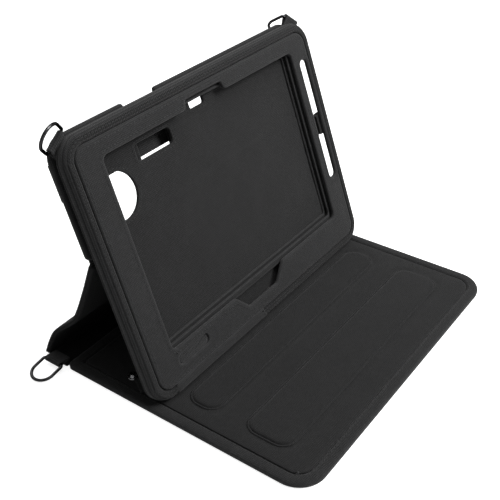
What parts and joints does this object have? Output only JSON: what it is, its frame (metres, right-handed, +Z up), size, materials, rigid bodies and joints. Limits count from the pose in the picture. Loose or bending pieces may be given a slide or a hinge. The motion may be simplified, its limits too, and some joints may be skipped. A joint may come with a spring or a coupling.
{
  "type": "folding tablet case",
  "caption": "Charcoal fabric folding case for a ten-inch tablet, standing open: framed tray on a folding back, padded base cover and corner rings.",
  "frame": {"origin": "middle of the base cover's underside", "axes": "+X along the long side, -Y toward the base cover's front edge, +Z up; the tray's face looks toward -Y and up"},
  "size_m": [0.3348, 0.2408, 0.2135],
  "materials": {
    "outer_fabric": "coarse woven charcoal polyester, matt",
    "frame_fabric": "charcoal woven cloth bonded over foam, matt",
    "lining_fabric": "fine woven charcoal lining, matt",
    "webbing": "flat woven webbing",
    "foam": "closed-cell foam under cloth",
    "stiff_board": "dense stiffening board",
    "mesh": "perforated acoustic mesh",
    "bright_steel": "bright nickel-plated wire"
  },
  "bodies": {
    "base": {"base_outer": "outer_fabric", "base_border": "outer_fabric", "base_board": "stiff_board", "base_foam": "foam", "base_lining": "lining_fabric", "pad_back": "lining_fabric", "pad_front": "lining_fabric", "press_stud": "bright_steel"},
    "spine": {"spine_outer": "outer_fabric", "spine_board": "stiff_board", "spine_lining": "lining_fabric", "tab_bottom_left": "webbing", "tab_bottom_right": "webbing"},
    "stand": {"stand_outer": "outer_fabric", "stand_board_low": "stiff_board", "stand_board_high": "stiff_board", "stand_lining": "lining_fabric"},
    "tray": {"edge_rim": "outer_fabric", "front_frame": "frame_fabric", "side_wall": "foam", "wall_bridge": "foam", "step_low": "lining_fabric", "step_high": "lining_fabric", "tray_board": "stiff_board", "tray_floor": "lining_fabric", "back_cushion": "foam", "over_outer": "outer_fabric", "over_board": "stiff_board", "over_inner": "lining_fabric", "hand_strap": "webbing", "sound_mesh": "mesh", "tab_top_left": "webbing", "tab_top_right": "webbing"},
    "ring_tl": {"ring_top_left": "bright_steel"},
    "ring_tr": {"ring_top_right": "bright_steel"},
    "ring_bl": {"ring_bottom_left": "bright_steel"},
    "ring_br": {"ring_bottom_right": "bright_steel"}
  },
  "joints": [
    {"name": "spine_fold", "type": "hinge", "parent": "base", "child": "spine", "pos_m": [0, 0.1104, 0.0005], "axis": [1, 0, 0], "range_deg": [-30, 0]},
    {"name": "stand_fold", "type": "hinge", "parent": "spine", "child": "stand", "pos_m": [0, 0.131, 0.0005], "axis": [1, 0, 0], "range_deg": [-114, 0]},
    {"name": "tray_hinge", "type": "hinge", "parent": "stand", "child": "tray", "pos_m": [0, 0.06849, 0.11144], "axis": [1, 0, 0], "range_deg": [0, 46]},
    {"name": "ring_top_left_swing", "type": "hinge", "parent": "tray", "child": "ring_tl", "pos_m": [-0.1355, 0.09318, 0.19584], "axis": [-0.7407, 0.0604, -0.6691], "range_deg": [-10, 110]},
    {"name": "ring_top_right_swing", "type": "hinge", "parent": "tray", "child": "ring_tr", "pos_m": [0.1387, 0.09431, 0.19692], "axis": [0.769, -0.2134, -0.6025], "range_deg": [0, 125]},
    {"name": "ring_bottom_left_swing", "type": "hinge", "parent": "spine", "child": "ring_bl", "pos_m": [-0.146, 0.12, 0.005], "axis": [0, 1, 0], "range_deg": [0, 100]},
    {"name": "ring_bottom_right_swing", "type": "hinge", "parent": "spine", "child": "ring_br", "pos_m": [0.146, 0.12, 0.005], "axis": [0, 1, 0], "range_deg": [-100, 0]}
  ],
  "couplings": [
    {"joint": "tray_hinge", "follows": "stand_fold", "ratio": -0.4028}
  ]
}
